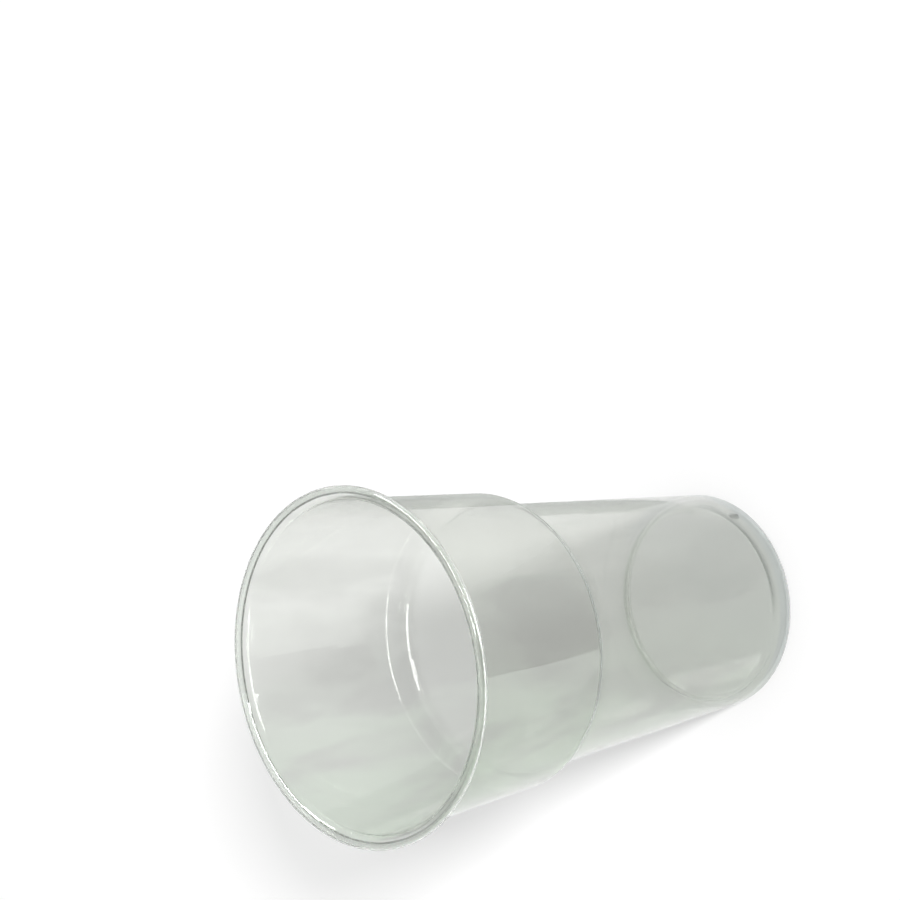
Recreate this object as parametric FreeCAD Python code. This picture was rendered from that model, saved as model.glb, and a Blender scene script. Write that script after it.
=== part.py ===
import FreeCAD, Part
import math
import os

# A clear disposable tumbler, drawn from one sheet of plastic. It stands on its foot with
# its axis on Z. Sizes are in millimetres, angles in degrees. The section is drawn in XZ
# as one bent sheet, from the middle of the base to the curled end of the lip.

# Overall
HEIGHT = 145.0
RIM_DIAMETER = 95.0
WALL = 0.45

# Directions about the centres of the lip's arcs, counted from outwards
TOP = 90.0
INWARDS = 180.0

# Rolled lip
ROLL_DIAMETER = 2.2
ROLL_SWEEP = 250.0
LIP_BEND = 2.8

# Shoulder, from its upper corner: outside radius, height, and how far it steps in and down
SHOULDER_RADIUS = 40.9
SHOULDER_HEIGHT = 93.3
SHOULDER_STEP = 3.5
SHOULDER_DROP = 3.0

# Outside radius of the lower wall at the foot
FOOT_RADIUS = 32.1

# Recessed base
PANEL_RADIUS = 28.9
PANEL_RECESS = 4.6
RISER_DRAFT = 6.0

# Outside bend radii
SHOULDER_TOP_BEND = 3.0
SHOULDER_BOTTOM_BEND = 6.5
HEEL_BEND = 1.2
FOOT_INNER_BEND = 0.8
PANEL_BEND = 1.2

# Short rib that stands in the channel of the foot, against the riser
RIB_ANGLE = -39.5
RIB_RADIUS = 0.4
RIB_LENGTH = 3.0
RIB_CLEARANCE = 0.9


def vector(position):
    """A point of the half section, given as radius and height."""
    return FreeCAD.Vector(position[0], 0, position[1])


def direction(start, end):
    """The unit direction from one section point to another."""
    across, up = end[0] - start[0], end[1] - start[1]
    length = math.hypot(across, up)
    return across / length, up / length


def turn(before, corner, after):
    """The signed angle by which the section turns at a corner, left turns positive."""
    in_x, in_y = direction(before, corner)
    out_x, out_y = direction(corner, after)
    return math.atan2(in_x * out_y - in_y * out_x, in_x * out_x + in_y * out_y)


def moved_left(start, end, distance):
    """A straight run moved sideways to its left."""
    across, up = direction(start, end)
    return [(x - up * distance, y + across * distance) for x, y in (start[:2], end[:2])]


def crossing(first, second):
    """The point in which two straight runs meet when they are made longer."""
    (ax, ay), (bx, by) = first
    (cx, cy), (dx, dy) = second
    rx, ry, sx, sy = bx - ax, by - ay, dx - cx, dy - cy
    share = ((cx - ax) * sy - (cy - ay) * sx) / (rx * sy - ry * sx)
    return ax + share * rx, ay + share * ry


def other_face(corners, thickness):
    """The sheet's inner face: runs moved to the left, bends about the same centres."""
    runs = [moved_left(a, b, thickness) for a, b in zip(corners, corners[1:])]
    moved = [(*runs[0][0], 0.0)]
    for index in range(1, len(corners) - 1):
        meeting = crossing(runs[index - 1], runs[index])
        angle = turn(corners[index - 1], corners[index], corners[index + 1])
        moved.append((*meeting, corners[index][2] - math.copysign(thickness, angle)))
    moved.append((*runs[-1][1], 0.0))
    return moved


def bent_path(corners):
    """Straight runs joined by tangent arcs, from corners given as radius, height, bend."""
    edges = []
    here = corners[0][:2]
    for before, corner, after in zip(corners, corners[1:], corners[2:]):
        angle = turn(before, corner, after)
        reach = corner[2] * math.tan(abs(angle) / 2)
        in_x, in_y = direction(before, corner)
        out_x, out_y = direction(corner, after)
        start = (corner[0] - in_x * reach, corner[1] - in_y * reach)
        end = (corner[0] + out_x * reach, corner[1] + out_y * reach)
        mid_x, mid_y = direction((in_x, in_y), (out_x, out_y))
        rise = corner[2] * (1 / math.cos(angle / 2) - 1)
        middle = (corner[0] + mid_x * rise, corner[1] + mid_y * rise)
        edges.append(Part.LineSegment(vector(here), vector(start)).toShape())
        edges.append(Part.Arc(vector(start), vector(middle), vector(end)).toShape())
        here = end
    edges.append(Part.LineSegment(vector(here), vector(corners[-1])).toShape())
    return edges


def on_circle(centre, radius, degrees):
    """A section point on a circle."""
    angle = math.radians(degrees)
    return centre[0] + radius * math.cos(angle), centre[1] + radius * math.sin(angle)


def arc(centre, radius, first, last):
    """An arc of the section between two angles."""
    middle = (first + last) / 2
    points = [vector(on_circle(centre, radius, angle)) for angle in (first, middle, last)]
    return Part.Arc(*points).toShape()


def roll_centre():
    """The centre of the roll, whose outside touches the rim's diameter and the top."""
    roll_radius = ROLL_DIAMETER / 2
    return RIM_DIAMETER / 2 - roll_radius, HEIGHT - roll_radius


def lip_centre():
    """The centre of the bend that leads the wall into the roll."""
    return roll_centre()[0], HEIGHT - LIP_BEND


def mouth_taper():
    """The upper wall's lean from upright, tangent to the lip's bend."""
    across = lip_centre()[0] - SHOULDER_RADIUS
    up = lip_centre()[1] - SHOULDER_HEIGHT
    lean = math.atan2(across, up) - math.asin((LIP_BEND - WALL) / math.hypot(across, up))
    return math.degrees(lean)


def riser_foot():
    """The radius at which the drafted riser of the base reaches the foot."""
    return PANEL_RADIUS + PANEL_RECESS * math.tan(math.radians(RISER_DRAFT))


def outside_corners():
    """The corners of the sheet's outside face, from the middle of the base to the lip."""
    shoulder_foot = (SHOULDER_RADIUS - SHOULDER_STEP, SHOULDER_HEIGHT - SHOULDER_DROP)
    wall_end = on_circle(lip_centre(), LIP_BEND - WALL, INWARDS - mouth_taper())
    return [
        (0.0, PANEL_RECESS, 0.0),
        (PANEL_RADIUS, PANEL_RECESS, PANEL_BEND),
        (riser_foot(), 0.0, FOOT_INNER_BEND),
        (FOOT_RADIUS, 0.0, HEEL_BEND),
        (*shoulder_foot, SHOULDER_BOTTOM_BEND),
        (SHOULDER_RADIUS, SHOULDER_HEIGHT, SHOULDER_TOP_BEND),
        (*wall_end, 0.0),
    ]


def lip(inset):
    """The lip's bend and roll, drawn inset from the face that starts inside the cup."""
    bend = arc(lip_centre(), LIP_BEND - inset, INWARDS - mouth_taper(), TOP)
    roll = arc(roll_centre(), ROLL_DIAMETER / 2 - inset, TOP, TOP - ROLL_SWEEP)
    return [bend, roll]


def roll_end(inset):
    """The last point of the roll, on either face."""
    return vector(on_circle(roll_centre(), ROLL_DIAMETER / 2 - inset, TOP - ROLL_SWEEP))


def sheet_section():
    """The closed section of the sheet, on one side of the axis."""
    outside = outside_corners()
    inside = other_face(outside, WALL)
    edges = bent_path(outside) + lip(WALL)
    edges.append(Part.LineSegment(roll_end(WALL), roll_end(0.0)).toShape())
    edges += lip(0.0) + bent_path(inside)
    edges.append(Part.LineSegment(vector(inside[0]), vector(outside[0])).toShape())
    return Part.Face(Part.Wire(Part.sortEdges(edges)[0]))


def foot_rib():
    """A round rib on the channel side of the riser, along its draft, at RIB_ANGLE."""
    draft = math.radians(RISER_DRAFT)
    start_radius = riser_foot() - RIB_CLEARANCE * math.tan(draft) + WALL
    along = FreeCAD.Vector(-math.sin(draft), 0, math.cos(draft))
    base = FreeCAD.Vector(start_radius, 0, RIB_CLEARANCE)
    rib = Part.makeCylinder(RIB_RADIUS, RIB_LENGTH, base, along)
    rib.rotate(FreeCAD.Vector(0, 0, 0), FreeCAD.Vector(0, 0, 1), RIB_ANGLE)
    return rib


def tumbler():
    """The whole cup, turned about Z from its section, with the rib of the foot."""
    axis = FreeCAD.Vector(0, 0, 1)
    shell = sheet_section().revolve(FreeCAD.Vector(0, 0, 0), axis, 360)
    cup = shell.fuse(foot_rib()).removeSplitter()
    return cup.Solids[0]


os.makedirs("parts", exist_ok=True)
body = tumbler()
body.exportStep("parts/tumbler.step")
box = body.optimalBoundingBox()
print("tumbler valid:", body.isValid(), "volume mm3:", round(body.Volume, 1))
print("box mm:", round(box.XLength, 3), round(box.YLength, 3), round(box.ZLength, 3))
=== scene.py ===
import math

import bpy
from bpy.props import FloatProperty, FloatVectorProperty, IntProperty, PointerProperty
from mathutils import Matrix, Vector


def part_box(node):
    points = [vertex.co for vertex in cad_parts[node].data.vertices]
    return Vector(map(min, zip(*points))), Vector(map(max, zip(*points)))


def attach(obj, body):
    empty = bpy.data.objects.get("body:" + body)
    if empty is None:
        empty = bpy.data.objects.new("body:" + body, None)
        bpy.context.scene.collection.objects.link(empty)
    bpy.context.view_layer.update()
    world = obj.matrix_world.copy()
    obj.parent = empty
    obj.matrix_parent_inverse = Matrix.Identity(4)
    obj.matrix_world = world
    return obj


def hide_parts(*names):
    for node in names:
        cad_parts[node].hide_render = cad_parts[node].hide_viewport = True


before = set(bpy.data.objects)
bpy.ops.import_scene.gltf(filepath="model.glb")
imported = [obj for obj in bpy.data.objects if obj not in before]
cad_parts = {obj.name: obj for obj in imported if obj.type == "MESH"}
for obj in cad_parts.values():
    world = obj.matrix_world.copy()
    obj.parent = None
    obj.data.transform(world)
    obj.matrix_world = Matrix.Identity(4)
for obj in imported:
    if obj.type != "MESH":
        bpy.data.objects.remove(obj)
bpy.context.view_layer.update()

bl_info = {
    "name": "Clear tumbler",
    "version": (1, 0, 0),
    "blender": (4, 5, 0),
    "location": "3D View > Sidebar > Tumbler",
    "description": "Turns a clear plastic tumbler from its section and sets it on a pale floor",
    "category": "Add Mesh",
}

NODE = "tumbler"
BODY = "root"
MM = 0.001
LOW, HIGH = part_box(NODE)

# Directions in the section, in degrees from outwards
TOP = 90.0
INWARDS = 180.0

# How finely the sheet is made: degrees of a bend, metres of a straight run, faces round the
# rib, how close points are merged, and the sharpest edge in degrees that is shaded smoothly
ARC_STEP = 5.5
RUN_STEP = 12.0 * MM
RIB_SIDES = 24
MERGE_DISTANCE = 0.002 * MM
SMOOTH_ANGLE = 40.0

# Soft edges of the plastic's zones. Each pair says where the zone is empty and where it is
# full. The first is counted from the roll's inner side, the next three from the shoulder's
# height, PANEL_ABOVE from the height of the base panel, the five after it from the panel's
# radius, and the last from the middle of the rib.
LIP_INSIDE = (-0.6 * MM, 0.0)
LOWER_WALL_TOP = (-3.0 * MM, -9.0 * MM)
SHOULDER_BELOW = (-1.6 * MM, -0.8 * MM)
SHOULDER_ABOVE = (1.4 * MM, 0.6 * MM)
PANEL_ABOVE = (2.0 * MM, 0.6 * MM)
BASE_OUTSIDE = (1.2 * MM, 0.8 * MM)
CREASE_INSIDE = (-0.6 * MM, -0.3 * MM)
CREASE_OUTSIDE = (0.3 * MM, -0.1 * MM)
FAR_EDGE_INSIDE = (-2.2 * MM, -1.4 * MM)
FAR_EDGE_OUTSIDE = (2.4 * MM, 1.2 * MM)
RIB_AROUND = (2.0 * MM, 1.2 * MM)

# These are counted from the cup's axis: along X for the green of the painted reflection, along Y
# for the shoulder's painted shade, along RIB_WAY for the crease and the foot, and along FAR_WAY for
# the base's far edge
GREEN_SIDE = (10.0 * MM, -35.0 * MM)
SHOULDER_SIDE = (-12.0 * MM, -28.0 * MM)
CREASE_SIDE = (15.0 * MM, 26.0 * MM)
FOOT_SIDE = (-12.0 * MM, 12.0 * MM)
FAR_SIDE = (0.0, 14.0 * MM)
RIB_WAY = (0.6, -0.8)
FAR_WAY = (0.5, 0.85)

# The clouds: where their noise is empty and full, its detail and its distortion
CLOUD_EDGE = (0.44, 0.64)
CLOUD_DETAIL = 3.0
CLOUD_DISTORTION = 0.4

# How much of the base takes its own tint, and how much of it lets its own light to the floor
BASE_TINT_SHARE = 0.7
BASE_LIGHT_SHARE = 0.8

# The picture's side in pixels, the sensor's width in mm and the nearest distance seen
FRAME_PIXELS = 900
SENSOR_WIDTH = 36.0
CLIP_START = 0.01

# The room's light: the view's rise at which it is as dark as overhead
CEILING_RISE = 0.6

# The lamp and the bright strip, which hang higher than the cup
LAMP_PLACE = (0.76, -4.10, 3.24)
LAMP_SIZE = 0.6
STRIP_ENDS = ((0.80, 0.35, 0.62), (0.06, -0.38, 1.0))
STRIP_WIDTH = 0.18
STRIP_LIGHT = 30.0

# Cards on the floor: outlines in X and Y, and how high over the floor they lie. A fade has
# its middle, and the distances from there at which it starts and ends.
CARD_LIFT = 0.5 * MM
WHITE = (1.0, 1.0, 1.0)
WINDOW_OUTLINE = ((-0.32, -0.28), (-0.95, -0.80), (0.35, -1.00), (0.12, -0.18), (0.02, -0.18),
                  (-0.06, -0.25))
WINDOW_LIGHT = 16.0
SIDE_OUTLINE = ((0.040, -0.018), (0.280, 0.159), (0.090, 0.330), (0.047, 0.030))
SIDE_COLOUR = (0.62, 0.64, 0.62)
FRONT_OUTLINE = ((-0.034, -0.10), (-0.107, -0.25), (0.09, -0.25), (0.09, -0.10))
FRONT_COLOUR = (0.22, 0.17, 0.20)
FRONT_FADE = ((-0.05, -0.125), 0.03, 0.135)

# The near card's outline starts at a corner, runs half round the foot at a radius, and
# returns past the front card
NEAR_START = (-0.10, 0.0)
NEAR_FOOT_RADIUS = 34.0 * MM
NEAR_FOOT_ANGLES = range(-180, 15, 15)
NEAR_RETURN = ((0.10, 0.0), (0.09, -0.10), (-0.034, -0.10), (-0.075, -0.085), (-0.12, -0.05))
NEAR_COLOUR = (0.70, 0.70, 0.70)
NEAR_FADE = ((-0.02, -0.055), 0.035, 0.085)

# The card that stands behind the cup
BACK_CORNERS = ((-0.6, 0.9, 0.0), (0.9, 0.9, 0.0), (0.9, 0.9, 0.42), (-0.6, 0.9, 0.42))
BACK_COLOUR = (0.05, 0.06, 0.06)

# How often light may pass or mirror before it is dropped
BOUNCES = {"max_bounces": 24, "transmission_bounces": 20, "transparent_max_bounces": 24,
           "glossy_bounces": 24}


def length(name, description, default):
    """A length that a user can change, in metres."""
    return FloatProperty(name=name, description=description, default=default, unit="LENGTH")


class CupSizes(bpy.types.PropertyGroup):
    """The sizes of the cup's section."""

    height: length("Height", "From the foot to the top of the lip", HIGH.z - LOW.z)
    rim_diameter: length("Rim", "Outside diameter of the rolled lip", HIGH.x - LOW.x)
    wall: length("Wall", "Thickness of the sheet", 0.45 * MM)
    roll_diameter: length("Roll", "Outside diameter of the lip's roll", 2.2 * MM)
    roll_sweep: FloatProperty(
        name="Roll sweep", description="How far the sheet curls round in the roll, in degrees",
        default=250.0)
    lip_bend: length("Lip bend", "Inside radius of the bend that leads into the roll", 2.8 * MM)
    shoulder_radius: length("Shoulder radius", "Outside, at its upper corner", 40.9 * MM)
    shoulder_height: length("Shoulder height", "Of its upper corner over the foot", 93.3 * MM)
    shoulder_step: length("Shoulder step", "How far the shoulder steps inwards", 3.5 * MM)
    shoulder_drop: length("Shoulder drop", "Height of the shoulder's step", 3.0 * MM)
    foot_radius: length("Foot radius", "Outside, where the lower wall meets the floor", 32.1 * MM)
    panel_radius: length("Panel radius", "Of the recessed base panel", 28.9 * MM)
    panel_recess: length("Panel recess", "Height of the base panel over the foot", 4.6 * MM)
    riser_draft: FloatProperty(
        name="Riser draft", description="Lean of the riser round the base panel, in degrees",
        default=6.0)
    shoulder_top_bend: length("Shoulder top bend", "Outside radius", 3.0 * MM)
    shoulder_foot_bend: length("Shoulder foot bend", "Outside radius", 6.5 * MM)
    heel_bend: length("Heel bend", "Outside radius from the foot into the wall", 1.2 * MM)
    foot_inner_bend: length("Foot inner bend", "Outside radius from the riser", 0.8 * MM)
    panel_bend: length("Panel bend", "Outside radius from the panel into the riser", 1.2 * MM)
    rib_angle: FloatProperty(
        name="Rib angle", description="Place of the foot's rib round the cup, in degrees",
        default=-39.5)
    rib_radius: length("Rib radius", "Of the round rib in the foot's channel", 0.4 * MM)
    rib_length: length("Rib length", "Along the riser", 3.0 * MM)
    rib_clearance: length("Rib clearance", "Height of the rib's lower end", 0.9 * MM)
    around: IntProperty(name="Around", description="Faces round the cup", default=288)


class CupFinish(bpy.types.PropertyGroup):
    """The clear plastic, with painted light and shade on some of its zones."""

    wall_tint: FloatVectorProperty(
        name="Wall tint", description="What the stretched sheet of the walls lets through",
        subtype="COLOR", default=(0.825, 0.837, 0.808))
    # Painted light: the lower tint and its share lighten the lower wall below the shoulder, a
    # painted lift that makes up for the shade on the floor under it.
    lower_painted_lift: FloatVectorProperty(
        name="Lower tint", description="What the clearest part of the lower wall lets through",
        subtype="COLOR", default=(0.97, 0.98, 0.955))
    lower_painted_lift_share: FloatProperty(
        name="Lower share", description="How far the lower wall goes to the clearer tint",
        default=0.40, subtype="FACTOR")
    # Painted reflection: the green tint turns the walls greener towards -X, standing in for light
    # that a pale table throws into that side.
    green_painted_reflection: FloatVectorProperty(
        name="Green tint", description="What the greener side of the walls lets through",
        subtype="COLOR", default=(0.795, 0.86, 0.778))
    cloud_tint: FloatVectorProperty(
        name="Cloud tint", description="What the duller streaks of the walls let through",
        subtype="COLOR", default=(0.73, 0.74, 0.715))
    cloud_scale: FloatProperty(
        name="Cloud scale", description="Clouds in a metre round the cup", default=42.0)
    cloud_stretch: FloatProperty(
        name="Cloud stretch", description="How much longer the clouds are along the wall",
        default=3.0)
    lip_tint: FloatVectorProperty(
        name="Lip tint", description="What the clearer sheet of the lip lets through",
        subtype="COLOR", default=(0.90, 0.92, 0.895))
    lip_calm: FloatProperty(
        name="Lip calm", description="Share of the lip that lets light straight through",
        default=0.12, subtype="FACTOR")
    base_tint: FloatVectorProperty(
        name="Base tint", description="What the clearer sheet of the base lets through",
        subtype="COLOR", default=(0.985, 0.99, 0.975))
    foot_tint: FloatVectorProperty(
        name="Foot tint", description="What the heel and the foot let through",
        subtype="COLOR", default=(0.82, 0.85, 0.845))
    # Painted shade: the crease tint is a dark line on one side of the base panel's crease, where
    # the bend shows dark by refraction; the same tint also darkens the sheet round the foot's rib.
    painted_crease_shade_and_dark_rib: FloatVectorProperty(
        name="Crease tint", description="What the creased edge of the base panel lets through",
        subtype="COLOR", default=(0.35, 0.38, 0.36))
    # Painted shade: the shoulder tint is a dark band on the shoulder's corner on the camera's side,
    # standing in for the dark line that the bend shows by refraction.
    shoulder_painted_shade: FloatVectorProperty(
        name="Shoulder tint", description="What the shoulder's near corner lets through",
        subtype="COLOR", default=(0.62, 0.67, 0.63))
    calm_tint: FloatVectorProperty(
        name="Calm tint", description="Of the light that goes straight through a face",
        subtype="COLOR", default=(0.965, 0.975, 0.96))
    base_calm: FloatProperty(
        name="Base calm", description="Share of the base's far edge that lets light straight on",
        default=0.92, subtype="FACTOR")
    shadow_tint: FloatVectorProperty(
        name="Shadow tint", description="What each face of the sheet lets through to the floor",
        subtype="COLOR", default=(0.71, 0.715, 0.71))
    haze: FloatVectorProperty(
        name="Haze", description="Colour of the milky part of the sheet", subtype="COLOR",
        default=(0.62, 0.64, 0.61))
    haze_amount: FloatProperty(
        name="Haze amount", description="Share of the light that the sheet scatters",
        default=0.04, subtype="FACTOR")
    roughness: FloatProperty(
        name="Roughness", description="Of the moulded surface", default=0.02, subtype="FACTOR")
    ior: FloatProperty(name="Refraction", description="Index of the plastic", default=1.52)
    edge_colour: FloatVectorProperty(
        name="Edge colour", description="Of light that runs along the sheet",
        subtype="COLOR", default=(0.40, 0.50, 0.40))
    absorption: FloatProperty(
        name="Absorption", description="Density of the edge colour, per metre", default=20.0)


class StageSettings(bpy.types.PropertyGroup):
    """The camera, the floor and the light."""

    lens: FloatProperty(name="Lens", description="Focal length in mm", default=95.82)
    distance: length("Distance", "From the camera to the aim", 670.3 * MM)
    elevation: FloatProperty(
        name="Elevation", description="Of the camera over the aim, in degrees", default=46.15)
    roll: FloatProperty(
        name="Roll", description="Turn of the camera about its view, in degrees",
        default=-100.89)
    aim_height: length("Aim height", "Of the point on the cup's axis that is aimed at", 75.0 * MM)
    aim_pixel: FloatVectorProperty(
        name="Aim pixel", description="Where that point lies in the picture", size=2,
        default=(535.94, 633.46))
    floor_size: length("Floor size", "Side of the floor", 12.0)
    floor_colour: FloatVectorProperty(
        name="Floor colour", description="Of the plain floor", subtype="COLOR",
        default=(0.8, 0.8, 0.8))
    floor_glow: FloatProperty(
        name="Floor glow", description="What lifts the floor to white in the picture",
        default=0.23)
    horizon_light: FloatProperty(
        name="Horizon light", description="Strength of the room at eye level", default=1.0)
    ceiling_light: FloatProperty(
        name="Ceiling light", description="Strength of the room overhead", default=0.57)
    key_light: FloatProperty(
        name="Key light", description="Power of the softbox in W", default=262.0)


def direction(start, end):
    """The unit direction from one section point to another."""
    across, up = end[0] - start[0], end[1] - start[1]
    size = math.hypot(across, up)
    return across / size, up / size


def on_circle(centre, radius, degrees):
    """A section point on a circle."""
    angle = math.radians(degrees)
    return centre[0] + radius * math.cos(angle), centre[1] + radius * math.sin(angle)


def arc(centre, radius, first, last):
    """The points of an arc of the section, both ends among them."""
    count = max(2, math.ceil(abs(last - first) / ARC_STEP))
    angles = [first + (last - first) * index / count for index in range(count + 1)]
    return [on_circle(centre, radius, angle) for angle in angles]


def run(start, end):
    """The points of a straight run, without its ends."""
    count = max(1, round(math.dist(start, end) / RUN_STEP))
    shares = [index / count for index in range(1, count)]
    return [(start[0] + (end[0] - start[0]) * share, start[1] + (end[1] - start[1]) * share)
            for share in shares]


def corner_arc(before, corner, after):
    """The points of the bend at a corner, which is tangent to both runs."""
    in_x, in_y = direction(before, corner)
    out_x, out_y = direction(corner, after)
    turn = math.atan2(in_x * out_y - in_y * out_x, in_x * out_x + in_y * out_y)
    side = math.copysign(1.0, turn)
    reach = corner[2] * math.tan(abs(turn) / 2)
    start = (corner[0] - in_x * reach, corner[1] - in_y * reach)
    centre = (start[0] - in_y * corner[2] * side, start[1] + in_x * corner[2] * side)
    first = math.degrees(math.atan2(start[1] - centre[1], start[0] - centre[0]))
    return arc(centre, corner[2], first, first + math.degrees(turn))


def bent_path(corners):
    """The points of straight runs joined by bends."""
    points = [corners[0][:2]]
    for before, corner, after in zip(corners, corners[1:], corners[2:]):
        bend = corner_arc(before, corner, after)
        points += run(points[-1], bend[0]) + bend
    return points + run(points[-1], corners[-1][:2])


def sheet_outside(sizes):
    """The sheet's outside face in section, from the middle of the base to the roll's end."""
    roll_radius = sizes.roll_diameter / 2
    roll_centre = (sizes.rim_diameter / 2 - roll_radius, sizes.height - roll_radius)
    lip_centre = (roll_centre[0], sizes.height - sizes.lip_bend)
    lip_radius = sizes.lip_bend - sizes.wall
    across = lip_centre[0] - sizes.shoulder_radius
    up = lip_centre[1] - sizes.shoulder_height
    taper = math.degrees(math.atan2(across, up) - math.asin(lip_radius / math.hypot(across, up)))
    riser_foot = sizes.panel_radius + sizes.panel_recess * math.tan(math.radians(sizes.riser_draft))
    corners = [
        (0.0, sizes.panel_recess, 0.0),
        (sizes.panel_radius, sizes.panel_recess, sizes.panel_bend),
        (riser_foot, 0.0, sizes.foot_inner_bend),
        (sizes.foot_radius, 0.0, sizes.heel_bend),
        (sizes.shoulder_radius - sizes.shoulder_step, sizes.shoulder_height - sizes.shoulder_drop,
         sizes.shoulder_foot_bend),
        (sizes.shoulder_radius, sizes.shoulder_height, sizes.shoulder_top_bend),
        (*on_circle(lip_centre, lip_radius, INWARDS - taper), 0.0),
    ]
    lip = arc(lip_centre, lip_radius, INWARDS - taper, TOP)
    roll = arc(roll_centre, roll_radius - sizes.wall, TOP, TOP - sizes.roll_sweep)
    return bent_path(corners) + lip + roll[1:]


class Value:
    """One output in a node tree, with arithmetic that adds Math nodes."""

    def __init__(self, tree, socket):
        self.tree = tree
        self.socket = socket

    def __add__(self, other):
        return self.tree.maths("ADD", self, other)

    def __sub__(self, other):
        return self.tree.maths("SUBTRACT", self, other)

    def __rsub__(self, other):
        return self.tree.maths("SUBTRACT", other, self)

    def __mul__(self, other):
        return self.tree.maths("MULTIPLY", self, other)

    def __rmul__(self, other):
        return self.tree.maths("MULTIPLY", other, self)

    def __truediv__(self, other):
        return self.tree.maths("DIVIDE", self, other)


class Tree:
    """Adds nodes to a node tree."""

    def __init__(self, nodes):
        self.nodes = nodes

    def node(self, kind, inputs, output=0, **settings):
        """Adds a node, sets it up, feeds its sockets and gives one of its outputs."""
        made = self.nodes.nodes.new(kind)
        for name, setting in settings.items():
            setattr(made, name, setting)
        for name, value in inputs.items():
            self.feed(made.inputs[name], value)
        return Value(self, made.outputs[output]) if made.outputs else made

    def feed(self, socket, value):
        """Links a value to a socket, or sets it there."""
        if isinstance(value, Value):
            self.nodes.links.new(value.socket, socket)
        else:
            socket.default_value = value

    def maths(self, operation, *values):
        """One step of arithmetic."""
        return self.node("ShaderNodeMath", dict(enumerate(values)), operation=operation)

    def vectors(self, operation, *values, output=0):
        """One step of arithmetic with vectors."""
        return self.node("ShaderNodeVectorMath", dict(enumerate(values)), output=output,
                         operation=operation)

    def ramp(self, value, edge, level=0.0):
        """A soft change from 0 to 1 between the two ends of an edge, which start at a level."""
        empty, full = (level + end for end in edge)
        return self.node("ShaderNodeMapRange", {
            "Value": value, "From Min": empty, "From Max": full}, interpolation_type="SMOOTHSTEP")

    def mix(self, share, first, second):
        """The mix of two colours."""
        first, second = (colour if isinstance(colour, Value) else (*colour, 1.0)
                         for colour in (first, second))
        return self.node("ShaderNodeMix", {0: share, "A": first, "B": second}, output=2,
                         data_type="RGBA")

    def blend(self, share, first, second):
        """The mix of two surfaces."""
        return self.node("ShaderNodeMixShader", {0: share, 1: first, 2: second})

    def sibling(self, value, output):
        """Another output of the node that a value comes from."""
        return Value(self, value.socket.node.outputs[output])


def empty_material(name):
    """A material without nodes, and its node tree."""
    material = bpy.data.materials.new(name)
    material.use_nodes = True
    material.node_tree.nodes.clear()
    return material, Tree(material.node_tree)


def sheet_tree():
    """The node group that turns a section line about Z into a closed sheet."""
    group = bpy.data.node_groups.new("Turned sheet", "GeometryNodeTree")
    sockets = (("Section", "INPUT", "NodeSocketGeometry"), ("Wall", "INPUT", "NodeSocketFloat"),
               ("Around", "INPUT", "NodeSocketInt"), ("Rib", "INPUT", "NodeSocketVector"),
               ("Rib radius", "INPUT", "NodeSocketFloat"),
               ("Rib length", "INPUT", "NodeSocketFloat"),
               ("Rib turn", "INPUT", "NodeSocketVector"),
               ("Plastic", "INPUT", "NodeSocketMaterial"),
               ("Cup", "OUTPUT", "NodeSocketGeometry"))
    for name, way, kind in sockets:
        group.interface.new_socket(name, in_out=way, socket_type=kind)
    tree = Tree(group)
    given = group.nodes.new("NodeGroupInput")
    take = {socket.name: Value(tree, socket) for socket in given.outputs if socket.name}
    section, around = take["Section"], take["Around"]

    points = tree.node("GeometryNodeAttributeDomainSize", {0: section}, component="CURVE")
    grid = tree.node("GeometryNodeMeshGrid", {
        "Size X": 1.0, "Size Y": 1.0, "Vertices X": points * 2, "Vertices Y": around + 1})
    index = tree.node("GeometryNodeInputIndex", {})
    row = tree.maths("FLOOR", index / (around + 1))
    turned = index - row * (around + 1)
    inner = tree.maths("GREATER_THAN", row, points - 0.5)
    station = row + inner * (points * 2 - 1 - row * 2)

    place = tree.node("GeometryNodeInputPosition", {})
    heading = tree.node("GeometryNodeInputTangent", {})
    sampled = {}
    for name, field in (("place", place), ("heading", heading)):
        taken = tree.node("GeometryNodeSampleIndex", {0: section, 1: field, 2: station},
                          data_type="FLOAT_VECTOR")
        sampled[name] = tree.node("ShaderNodeSeparateXYZ", {0: taken})
    across, up = sampled["heading"], tree.sibling(sampled["heading"], 2)
    radius = sampled["place"] - up * inner * take["Wall"]
    height = tree.sibling(sampled["place"], 2) + across * inner * take["Wall"]
    angle = turned / around * math.tau
    cosine, sine = (tree.maths(operation, angle) for operation in ("COSINE", "SINE"))
    place = tree.node("ShaderNodeCombineXYZ", {0: radius * cosine, 1: radius * sine, 2: height})
    shaped = tree.node("GeometryNodeSetPosition", {"Geometry": grid, "Position": place})
    faced = tree.node("GeometryNodeFlipFaces", {0: shaped})
    merged = tree.node("GeometryNodeMergeByDistance", {0: faced, "Distance": MERGE_DISTANCE})

    rib = tree.node("GeometryNodeMeshCylinder", {
        "Vertices": RIB_SIDES, "Side Segments": 1, "Radius": take["Rib radius"],
        "Depth": take["Rib length"]})
    rib = tree.node("GeometryNodeTransform", {
        "Geometry": rib, "Translation": take["Rib"], "Rotation": take["Rib turn"]})
    cup = group.nodes.new("GeometryNodeJoinGeometry")
    for part in (merged, rib):
        group.links.new(part.socket, cup.inputs[0])
    cup = Value(tree, cup.outputs[0])
    bend = tree.node("GeometryNodeInputMeshEdgeAngle", {})
    soft = tree.maths("LESS_THAN", bend, math.radians(SMOOTH_ANGLE))
    cup = tree.node("GeometryNodeSetShadeSmooth", {0: cup, "Shade Smooth": soft}, domain="EDGE")
    cup = tree.node("GeometryNodeRealizeInstances", {0: cup})
    cup = tree.node("GeometryNodeSetMaterial", {0: cup, "Material": take["Plastic"]})
    result = group.nodes.new("NodeGroupOutput")
    group.links.new(cup.socket, result.inputs[0])
    return group


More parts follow.
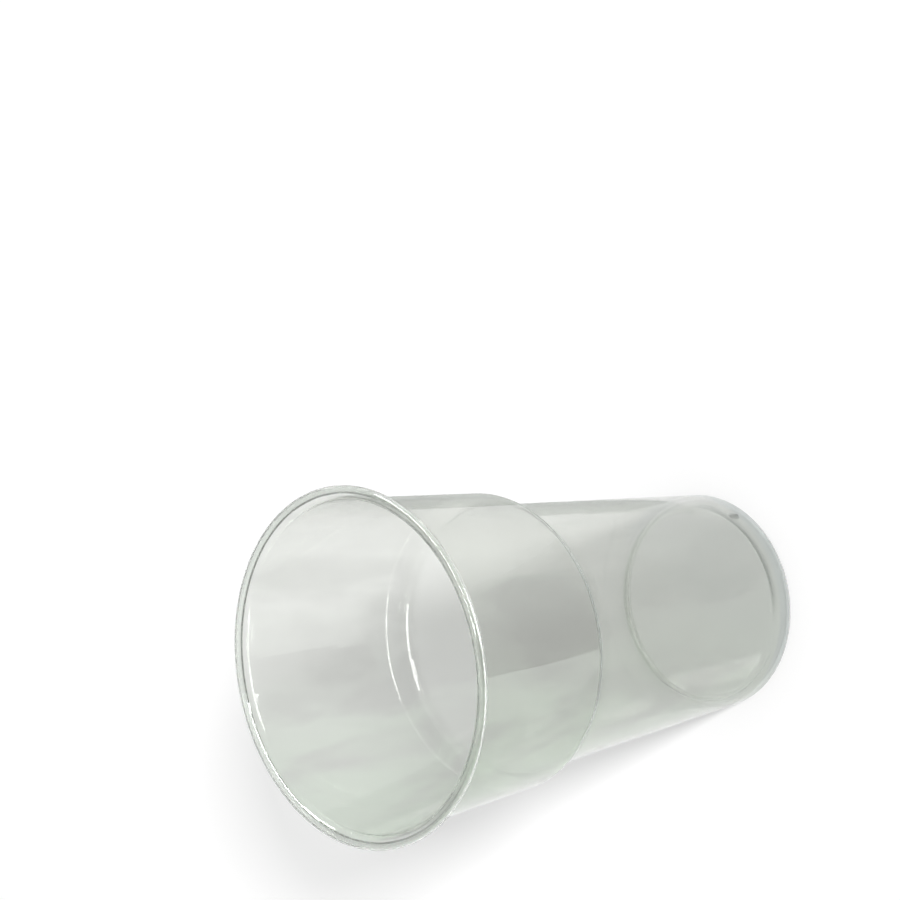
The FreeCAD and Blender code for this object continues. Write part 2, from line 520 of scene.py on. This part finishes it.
def evaluated_mesh(maker, group, values, name):
    """The plain mesh that a node group makes from an object, under a new name."""
    modifier = maker.modifiers.new("Turned sheet", "NODES")
    modifier.node_group = group
    for item in group.interface.items_tree:
        if item.in_out == "INPUT" and item.name in values:
            modifier[item.identifier] = values[item.name]
    seen = maker.evaluated_get(bpy.context.evaluated_depsgraph_get())
    mesh = bpy.data.meshes.new_from_object(seen)
    mesh.name = name
    maker.modifiers.remove(modifier)
    bpy.data.objects.remove(maker)
    piece = bpy.data.objects.new(name, mesh)
    bpy.context.scene.collection.objects.link(piece)
    return piece


def section_line(sizes):
    """A curve object along the sheet's outside face in section."""
    points = sheet_outside(sizes)
    curve = bpy.data.curves.new("Section", "CURVE")
    curve.dimensions = "3D"
    spline = curve.splines.new("POLY")
    spline.points.add(len(points) - 1)
    for point, (radius, height) in zip(spline.points, points):
        point.co = (radius, 0.0, height, 1.0)
    line = bpy.data.objects.new("Section", curve)
    bpy.context.scene.collection.objects.link(line)
    return line


def rib_placement(sizes):
    """The middle of the foot's rib and its turn, along the riser's draft."""
    draft = math.radians(sizes.riser_draft)
    foot = sizes.panel_radius + sizes.panel_recess * math.tan(draft)
    radius = foot - sizes.rib_clearance * math.tan(draft) + sizes.wall
    middle = (radius - math.sin(draft) * sizes.rib_length / 2,
              sizes.rib_clearance + math.cos(draft) * sizes.rib_length / 2)
    angle = math.radians(sizes.rib_angle)
    return (middle[0] * math.cos(angle), middle[0] * math.sin(angle), middle[1]), (0, -draft, angle)


def cup_zones(tree, sizes):
    """The zones of the cup that have a look of their own, some of them painted light and shade,
    each 0 outside and 1 inside.
    """
    place = tree.node("ShaderNodeTexCoord", {}, output="Object")
    side = tree.node("ShaderNodeSeparateXYZ", {0: place})
    depth, height = (tree.sibling(side, output) for output in (1, 2))
    flat = tree.vectors("MULTIPLY", place, (1.0, 1.0, 0.0))
    radius = tree.vectors("LENGTH", flat, output="Value")
    to_rib = tree.vectors("DISTANCE", place, Vector(rib_placement(sizes)[0]), output="Value")
    rib_way, far_way = (side * across + depth * deep for across, deep in (RIB_WAY, FAR_WAY))

    low_down = tree.ramp(height, PANEL_ABOVE, sizes.panel_recess)
    base = low_down * tree.ramp(radius, BASE_OUTSIDE, sizes.panel_radius)
    # One side of the panel's crease, which takes painted shade
    crease = (tree.ramp(radius, CREASE_INSIDE, sizes.panel_radius)
              * tree.ramp(radius, CREASE_OUTSIDE, sizes.panel_radius)
              * tree.ramp(rib_way, CREASE_SIDE))
    return {
        # Where the painted reflection turns the walls greener
        "green": tree.ramp(side, GREEN_SIDE),
        # Where the painted lift lightens the lower wall
        "lower": tree.ramp(height, LOWER_WALL_TOP, sizes.shoulder_height),
        # Where the painted shade lies on the shoulder's near corner
        "shoulder": (tree.ramp(height, SHOULDER_BELOW, sizes.shoulder_height)
                     * tree.ramp(height, SHOULDER_ABOVE, sizes.shoulder_height)
                     * tree.ramp(depth, SHOULDER_SIDE)),
        "foot": low_down * tree.ramp(rib_way, FOOT_SIDE),
        "base": base,
        "far edge": (low_down * tree.ramp(far_way, FAR_SIDE)
                     * tree.ramp(radius, FAR_EDGE_INSIDE, sizes.panel_radius)
                     * tree.ramp(radius, FAR_EDGE_OUTSIDE, sizes.panel_radius)),
        "lip": tree.ramp(radius, LIP_INSIDE, sizes.rim_diameter / 2 - sizes.roll_diameter),
        # Where the painted shade lies on the crease, and where the sheet is darker round the rib
        "painted crease shade and dark rib": tree.maths("MAXIMUM", crease * base, tree.ramp(to_rib, RIB_AROUND)),
    }


def clouds(tree, finish):
    """The dull streaks of the stretched sheet, which run along the wall."""
    place = tree.node("ShaderNodeTexCoord", {}, output="Object")
    squeezed = tree.vectors("MULTIPLY", place, (1.0, 1.0, 1.0 / finish.cloud_stretch))
    noise = tree.node("ShaderNodeTexNoise", {
        "Vector": squeezed, "Scale": finish.cloud_scale, "Detail": CLOUD_DETAIL,
        "Distortion": CLOUD_DISTORTION})
    return tree.ramp(noise, CLOUD_EDGE)


def clear_plastic(finish, sizes):
    """Clear, slightly cloudy plastic, which lets lamp light through to the floor."""
    material, tree = empty_material("Clear plastic")
    zone = cup_zones(tree, sizes)
    # The walls' own tint, turned greener towards -X by a painted reflection
    tint = tree.mix(zone["green"], finish.wall_tint, finish.green_painted_reflection)
    # Over the walls' tint go the clouds, and painted light and shade: the lower wall's painted
    # lift, the shoulder's and the crease's painted shade
    for share, other in (
            (clouds(tree, finish), finish.cloud_tint),
            # Painted lift of the lower wall
            (zone["lower"] * finish.lower_painted_lift_share, finish.lower_painted_lift),
            # Painted shade on the shoulder's near corner
            (zone["shoulder"], finish.shoulder_painted_shade),
            (zone["foot"], finish.foot_tint),
            (zone["base"] * BASE_TINT_SHARE, finish.base_tint),
            (zone["lip"], finish.lip_tint),
            # Painted shade on the crease, and the darker sheet round the rib
            (zone["painted crease shade and dark rib"], finish.painted_crease_shade_and_dark_rib)):
        tint = tree.mix(share, tint, other)
    glass = tree.node("ShaderNodeBsdfPrincipled", {
        "Base Color": tint, "Roughness": finish.roughness, "IOR": finish.ior,
        "Transmission Weight": 1.0})
    milk = tree.node("ShaderNodeBsdfDiffuse", {"Color": (*finish.haze, 1.0)})
    sheet = tree.blend(finish.haze_amount * (1 - zone["lip"]), glass, milk)
    straight = tree.node("ShaderNodeBsdfTransparent", {"Color": (*finish.calm_tint, 1.0)})
    calm = finish.lip_calm * zone["lip"] + finish.base_calm * zone["far edge"]
    sheet = tree.blend(calm, sheet, straight)

    passed = tree.node("ShaderNodeBsdfTransparent", {"Color": (*finish.shadow_tint, 1.0)})
    passed = tree.blend(zone["base"] * BASE_LIGHT_SHARE, passed, straight)
    shadow = tree.node("ShaderNodeLightPath", {}, output="Is Shadow Ray")
    unseen = tree.maths("MAXIMUM", shadow, tree.sibling(shadow, "Is Diffuse Ray"))
    edge = tree.node("ShaderNodeVolumeAbsorption", {
        "Color": (*finish.edge_colour, 1.0), "Density": finish.absorption})
    tree.node("ShaderNodeOutputMaterial", {
        "Surface": tree.blend(unseen, sheet, passed), "Volume": edge})
    return material


class TUMBLER_OT_cup(bpy.types.Operator):
    """Turn the cup from its section and give it its plastic"""

    bl_idname = "tumbler.cup"
    bl_label = "Cup"

    def execute(self, context):
        sizes = context.scene.cup_sizes
        rib_middle, rib_turn = rib_placement(sizes)
        values = {
            "Wall": sizes.wall, "Around": sizes.around, "Rib": rib_middle,
            "Rib radius": sizes.rib_radius, "Rib length": sizes.rib_length,
            "Rib turn": rib_turn,
            "Plastic": clear_plastic(context.scene.cup_finish, sizes)}
        cup = evaluated_mesh(section_line(sizes), sheet_tree(), values, "cup")
        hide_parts(NODE)
        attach(cup, BODY)
        return {"FINISHED"}


def floor_material(stage):
    """A plain pale floor, which reads as white and keeps the cup's shadow."""
    material, tree = empty_material("Floor")
    matt = tree.node("ShaderNodeBsdfDiffuse", {"Color": (*stage.floor_colour, 1.0)})
    rays = tree.node("ShaderNodeLightPath", {}, output="Is Camera Ray")
    seen = rays + tree.sibling(rays, "Is Glossy Ray") + tree.sibling(rays, "Is Transmission Ray")
    seen = tree.maths("MINIMUM", seen, 1.0)
    glow = tree.node("ShaderNodeEmission", {"Strength": seen * stage.floor_glow})
    surface = tree.node("ShaderNodeAddShader", {0: matt, 1: glow})
    tree.node("ShaderNodeOutputMaterial", {"Surface": surface})
    return material


def flat_sheet(name, corners, material):
    """A flat object with one face."""
    mesh = bpy.data.meshes.new(name)
    mesh.from_pydata(corners, [], [range(len(corners))])
    mesh.materials.append(material)
    sheet = bpy.data.objects.new(name, mesh)
    bpy.context.scene.collection.objects.link(sheet)
    return sheet


def lay_floor(stage):
    """The floor, in the plane that the cup stands on."""
    half = stage.floor_size / 2
    corners = [(x * half, y * half, LOW.z) for x, y in ((-1, -1), (1, -1), (1, 1), (-1, 1))]
    floor = flat_sheet("floor", corners, floor_material(stage))


def camera_turn(stage, place, aim):
    """The camera's axes: it looks at the aim, rolls, and brings it to its pixel."""
    forward = (aim - place).normalized()
    right = forward.cross(Vector((0, 0, 1))).normalized()
    level = Matrix((right, right.cross(forward), forward))
    rolled = Matrix.Rotation(-math.radians(stage.roll), 3, "Z") @ level
    focus = stage.lens / SENSOR_WIDTH * FRAME_PIXELS
    middle = FRAME_PIXELS / 2
    ray = Vector(((stage.aim_pixel[0] - middle) / focus, (middle - stage.aim_pixel[1]) / focus, 1))
    turned = Vector((0, 0, 1)).rotation_difference(ray).to_matrix() @ rolled
    return Matrix((turned[0], turned[1], -turned[2])).transposed()


def place_camera(stage):
    """The camera at the photograph's viewing angle."""
    elevation = math.radians(stage.elevation)
    aim = Vector((0, 0, stage.aim_height))
    place = aim + Vector((0, -math.cos(elevation), math.sin(elevation))) * stage.distance
    data = bpy.data.cameras.new("Camera")
    data.lens = stage.lens
    data.sensor_width = SENSOR_WIDTH
    data.clip_start = CLIP_START
    camera = bpy.data.objects.new("Camera", data)
    camera.matrix_world = Matrix.Translation(place) @ camera_turn(stage, place, aim).to_4x4()
    bpy.context.scene.collection.objects.link(camera)
    bpy.context.scene.camera = camera


def light_room(stage):
    """The soft light of a plain room, paler at eye level than overhead."""
    world = bpy.data.worlds.new("Room")
    world.use_nodes = True
    world.node_tree.nodes.clear()
    tree = Tree(world.node_tree)
    view = tree.node("ShaderNodeTexCoord", {}, output="Generated")
    height = tree.sibling(tree.node("ShaderNodeSeparateXYZ", {0: view}), 2)
    strength = tree.node("ShaderNodeMapRange", {
        "Value": height, "From Min": 0.0, "From Max": CEILING_RISE,
        "To Min": stage.horizon_light, "To Max": stage.ceiling_light},
        interpolation_type="SMOOTHSTEP")
    room = tree.node("ShaderNodeBackground", {"Strength": strength})
    tree.node("ShaderNodeOutputWorld", {"Surface": room})
    bpy.context.scene.world = world


def hang_lamp(stage):
    """A square softbox that faces the cup."""
    data = bpy.data.lights.new("Key", "AREA")
    data.size = LAMP_SIZE
    data.energy = stage.key_light
    lamp = bpy.data.objects.new("Key", data)
    lamp.location = LAMP_PLACE
    lamp.rotation_euler = Vector(LAMP_PLACE).to_track_quat("Z", "Y").to_euler()
    lamp.visible_glossy = False
    lamp.visible_transmission = False
    bpy.context.scene.collection.objects.link(lamp)


def card_material(name, colour, strength, fade):
    """A card that only the plastic mirrors. With a fade, it turns white away from a point."""
    material, tree = empty_material(name)
    shade = (*colour, 1.0)
    if fade:
        place = tree.node("ShaderNodeTexCoord", {}, output="Object")
        middle, start, end = fade
        away = tree.vectors("DISTANCE", place, (*middle, LOW.z), output="Value")
        shade = tree.mix(tree.ramp(away, (start, end)), colour, WHITE)
    glow = tree.node("ShaderNodeEmission", {"Color": shade, "Strength": strength})
    clear = tree.node("ShaderNodeBsdfTransparent", {})
    depth = tree.node("ShaderNodeLightPath", {}, output="Glossy Depth")
    mirrored = tree.maths("MINIMUM", depth, 1.0)
    tree.node("ShaderNodeOutputMaterial", {"Surface": tree.blend(mirrored, clear, glow)})
    return material


def hang_card(name, corners, colour, strength=1.0, fade=None):
    """A flat card out of the picture, seen only where the plastic mirrors it."""
    card = flat_sheet(name, corners, card_material(name, colour, strength, fade))
    card.visible_camera = False
    card.visible_diffuse = False
    card.visible_shadow = False


def lay_card(name, outline, colour, strength=1.0, fade=None):
    """A card that lies on the floor."""
    corners = [(x, y, LOW.z + CARD_LIFT) for x, y in outline]
    hang_card(name, corners, colour, strength, fade)


def hang_strip():
    """A long bright card between two points, which faces the cup."""
    first, last = (Vector(end) for end in STRIP_ENDS)
    side = (last - first).cross(first + last).normalized() * STRIP_WIDTH / 2
    corners = (first - side, first + side, last + side, last - side)
    hang_card("strip", corners, WHITE, STRIP_LIGHT)


def near_outline():
    """The near card's outline, which runs half round the foot."""
    foot_edge = [on_circle((0.0, 0.0), NEAR_FOOT_RADIUS, angle) for angle in NEAR_FOOT_ANGLES]
    return [NEAR_START, *foot_edge, *NEAR_RETURN]


class TUMBLER_OT_stage(bpy.types.Operator):
    """Lay the floor, place the camera and light the room"""

    bl_idname = "tumbler.stage"
    bl_label = "Stage"

    def execute(self, context):
        stage = context.scene.cup_stage
        lay_floor(stage)
        place_camera(stage)
        light_room(stage)
        hang_lamp(stage)
        hang_strip()
        lay_card("window", WINDOW_OUTLINE, WHITE, WINDOW_LIGHT)
        lay_card("side_card", SIDE_OUTLINE, SIDE_COLOUR)
        lay_card("front_card", FRONT_OUTLINE, FRONT_COLOUR, fade=FRONT_FADE)
        lay_card("near_card", near_outline(), NEAR_COLOUR, fade=NEAR_FADE)
        hang_card("back_card", BACK_CORNERS, BACK_COLOUR)
        context.scene.view_settings.view_transform = "Standard"
        for name, count in BOUNCES.items():
            setattr(context.scene.cycles, name, count)
        return {"FINISHED"}


class TUMBLER_PT_panel(bpy.types.Panel):
    """Lists the steps that make the tumbler."""

    bl_label = "Tumbler"
    bl_idname = "TUMBLER_PT_panel"
    bl_space_type = "VIEW_3D"
    bl_region_type = "UI"
    bl_category = "Tumbler"

    def draw(self, context):
        for operator in (TUMBLER_OT_cup, TUMBLER_OT_stage):
            self.layout.operator(operator.bl_idname)


CLASSES = (CupSizes, CupFinish, StageSettings, TUMBLER_OT_cup, TUMBLER_OT_stage, TUMBLER_PT_panel)


def register():
    for one in CLASSES:
        bpy.utils.register_class(one)
    bpy.types.Scene.cup_sizes = PointerProperty(type=CupSizes)
    bpy.types.Scene.cup_finish = PointerProperty(type=CupFinish)
    bpy.types.Scene.cup_stage = PointerProperty(type=StageSettings)


def unregister():
    del bpy.types.Scene.cup_stage
    del bpy.types.Scene.cup_finish
    del bpy.types.Scene.cup_sizes
    for one in reversed(CLASSES):
        bpy.utils.unregister_class(one)


def main():
    """Makes the whole scene."""
    register()
    bpy.ops.tumbler.cup()
    bpy.ops.tumbler.stage()


if __name__ == "__main__":
    main()
